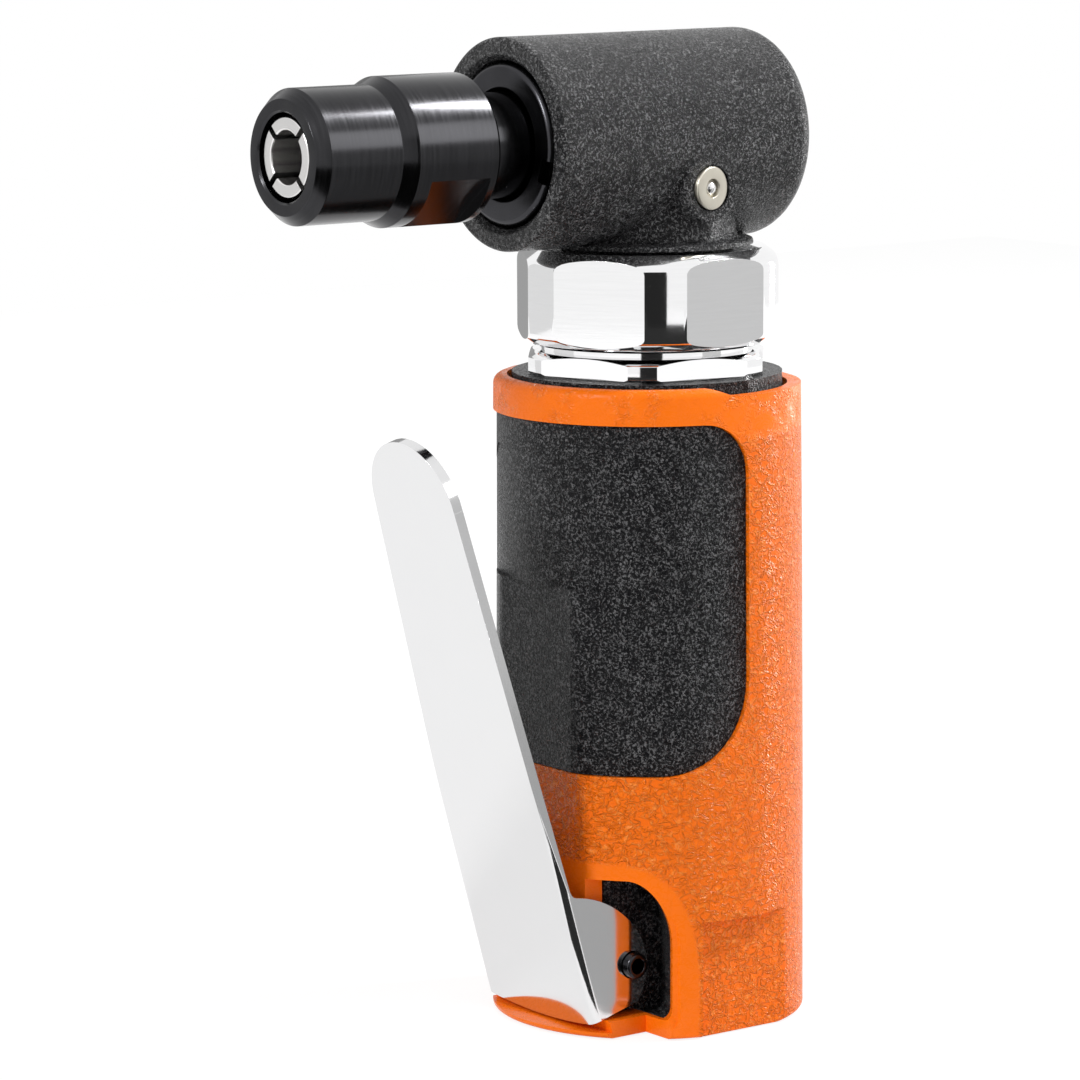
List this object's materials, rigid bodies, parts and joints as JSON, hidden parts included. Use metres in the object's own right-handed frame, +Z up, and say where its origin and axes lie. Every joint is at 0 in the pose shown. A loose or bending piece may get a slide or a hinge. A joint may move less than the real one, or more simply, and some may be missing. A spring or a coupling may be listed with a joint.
{
  "type": "right angle die grinder",
  "caption": "Pneumatic right angle die grinder with an orange round handle, black grip panel, chrome throttle lever, hex coupling and a black angle head with a collet nut.",
  "frame": {"origin": "On the ground plane under the middle of the part's box, with the part standing on its handle's base.", "axes": "+Z up along the handle, -Y from the handle towards the collet and the throttle lever, X across the lever."},
  "size_m": [0.039, 0.0734, 0.1225],
  "materials": {
    "orange_grip": "satin, fine leather grain",
    "black_grip": "matte, fine grain",
    "black_housing": "matte, textured",
    "black_casting": "semi-matte, fine wrinkle paint",
    "chrome": "polished",
    "polished_sheet": "polished stainless sheet",
    "dark_steel": "blackened, satin",
    "bright_steel": "machined",
    "nickel": "satin nickel",
    "brass": "machined",
    "seal_rubber": "matte",
    "felt": "matte felt",
    "vane_board": "matte fibre board"
  },
  "bodies": {
    "handle": {"orange_sleeve": "orange_grip", "grip_panel": "black_grip", "motor_housing": "black_housing", "exhaust_deflector": "black_housing", "muffler_pad": "felt", "air_inlet_bushing": "bright_steel", "inlet_screen": "bright_steel", "valve_bushing": "brass", "bushing_seal": "seal_rubber", "valve_seat": "brass", "valve_spring": "bright_steel", "lever_pin": "dark_steel", "rear_end_plate": "bright_steel", "rear_bearing_outer": "bright_steel", "rear_bearing_balls": "bright_steel", "motor_cylinder": "bright_steel", "motor_dowel": "bright_steel", "front_end_plate": "bright_steel", "front_bearing_outer": "bright_steel", "front_bearing_balls": "bright_steel", "motor_clamp_sleeve": "chrome"},
    "lever": {"throttle_lever": "polished_sheet"},
    "valve": {"valve_stem": "bright_steel", "valve_washer": "seal_rubber"},
    "coupling": {"coupling_nut": "chrome"},
    "head": {"angle_head": "black_casting", "nut_snap_ring": "dark_steel", "head_seal": "seal_rubber", "grease_fitting": "nickel", "grease_ball": "bright_steel", "pinion_bearing_outer": "bright_steel", "pinion_bearing_balls": "bright_steel", "pinion_bearing_nut": "dark_steel", "spindle_bearing_outer": "bright_steel", "spindle_bearing_balls": "bright_steel", "spindle_tail_bearing_outer": "bright_steel", "spindle_tail_bearing_balls": "bright_steel", "bearing_retainer": "dark_steel"},
    "rotor_shaft": {"rotor": "bright_steel", "rotor_vane_1": "vane_board", "rotor_vane_2": "vane_board", "rotor_vane_3": "vane_board", "rotor_vane_4": "vane_board", "rotor_vane_5": "vane_board", "rear_bearing_inner": "bright_steel", "front_bearing_inner": "bright_steel", "pinion": "bright_steel", "pinion_bearing_inner": "bright_steel"},
    "spindle_shaft": {"spindle": "dark_steel", "driven_gear": "bright_steel", "spindle_bearing_inner": "bright_steel", "spindle_tail_bearing_inner": "bright_steel"},
    "collet_body": {"collet": "bright_steel"},
    "nut_body": {"collet_nut": "dark_steel"}
  },
  "joints": [
    {"name": "lever_squeeze", "type": "hinge", "parent": "handle", "child": "lever", "pos_m": [0, 0.00607, 0.00855], "axis": [-1, 0, 0], "range_deg": [0, 13.9], "stiffness_Nm_per_rad": 0.15, "springref_deg": -20.05},
    {"name": "valve_slide", "type": "slide", "parent": "handle", "child": "valve", "axis": [0, 1, 0], "range_m": [0, 0.0041], "deforming": ["valve_spring"]},
    {"name": "coupling_nut_turn", "type": "hinge", "parent": "handle", "child": "coupling", "pos_m": [0, 0.01713, 0.09], "axis": [0, 0, 1], "range_deg": [0, 90]},
    {"name": "head_swivel", "type": "hinge", "parent": "handle", "child": "head", "pos_m": [0, 0.01713, 0.0964], "axis": [0, 0, 1], "range_deg": [-180, 180]},
    {"name": "spindle_spin", "type": "hinge", "parent": "head", "child": "spindle_shaft", "pos_m": [0, 0.01713, 0.1095], "axis": [0, -1, 0], "continuous": true},
    {"name": "rotor_spin", "type": "hinge", "parent": "head", "child": "rotor_shaft", "pos_m": [0, 0.01713, 0.06], "axis": [0, 0, 1], "continuous": true},
    {"name": "collet_slide", "type": "slide", "parent": "spindle_shaft", "child": "collet_body", "axis": [0, -1, 0], "range_m": [0, 0.002]},
    {"name": "collet_nut_turn", "type": "hinge", "parent": "collet_body", "child": "nut_body", "pos_m": [0, -0.02388, 0.1095], "axis": [0, -1, 0], "range_deg": [0, 720]}
  ],
  "couplings": [
    {"joint": "valve_slide", "follows": "lever_squeeze", "m_per_rad": 0.016406},
    {"joint": "spindle_spin", "follows": "rotor_spin", "ratio": 0.76471},
    {"joint": "collet_nut_turn", "follows": "collet_slide", "rad_per_m": 6283}
  ]
}
